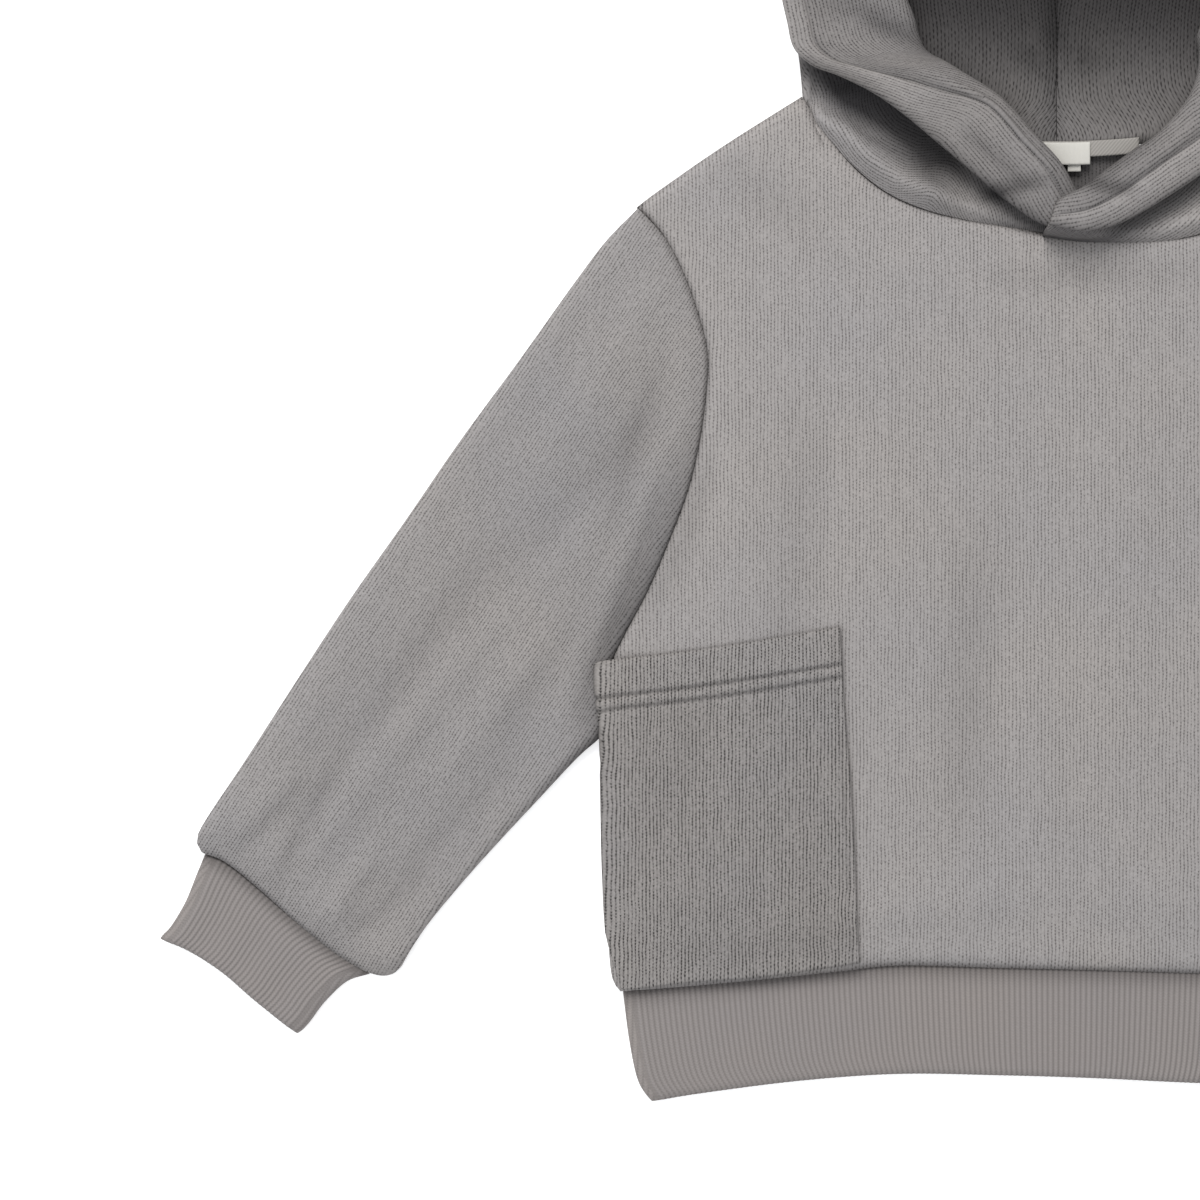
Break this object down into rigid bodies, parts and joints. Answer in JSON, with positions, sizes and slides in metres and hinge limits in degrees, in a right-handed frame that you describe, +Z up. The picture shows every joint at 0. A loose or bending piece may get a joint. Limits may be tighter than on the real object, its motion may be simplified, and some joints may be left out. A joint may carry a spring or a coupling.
{
  "type": "toddler hoodie laid flat",
  "caption": "Pull-on sweatshirt hoodie for a toddler, laid flat on its back, with a lined hood, patch pockets and rib cuffs and hem.",
  "frame": {"origin": "centre of the laid-out garment's bounding box, on the surface it rests on", "axes": "+X across the garment towards the wearer's left sleeve, +Y from the hem towards the hood, +Z up from the surface, so the front faces +Z"},
  "size_m": [0.7186, 0.6122, 0.0271],
  "materials": {
    "sweatshirt_cloth": "warm grey brushed sweatshirt knit, matt",
    "rib_knit": "warm grey fine rib knit, matt",
    "twill_tape": "pale grey cotton twill tape",
    "woven_label": "cream woven ribbon, bare"
  },
  "bodies": {
    "root": {"front": "sweatshirt_cloth", "back": "sweatshirt_cloth", "sleeve_right": "sweatshirt_cloth", "sleeve_left": "sweatshirt_cloth", "cuff_right": "rib_knit", "cuff_left": "rib_knit", "hem_band": "rib_knit", "pocket_right": "sweatshirt_cloth", "pocket_left": "sweatshirt_cloth", "hood_outer_right": "sweatshirt_cloth", "hood_outer_left": "sweatshirt_cloth", "hood_lining_right": "sweatshirt_cloth", "hood_lining_left": "sweatshirt_cloth", "neck_tape": "twill_tape", "neck_label": "woven_label", "size_tab": "woven_label"}
  },
  "joints": []
}
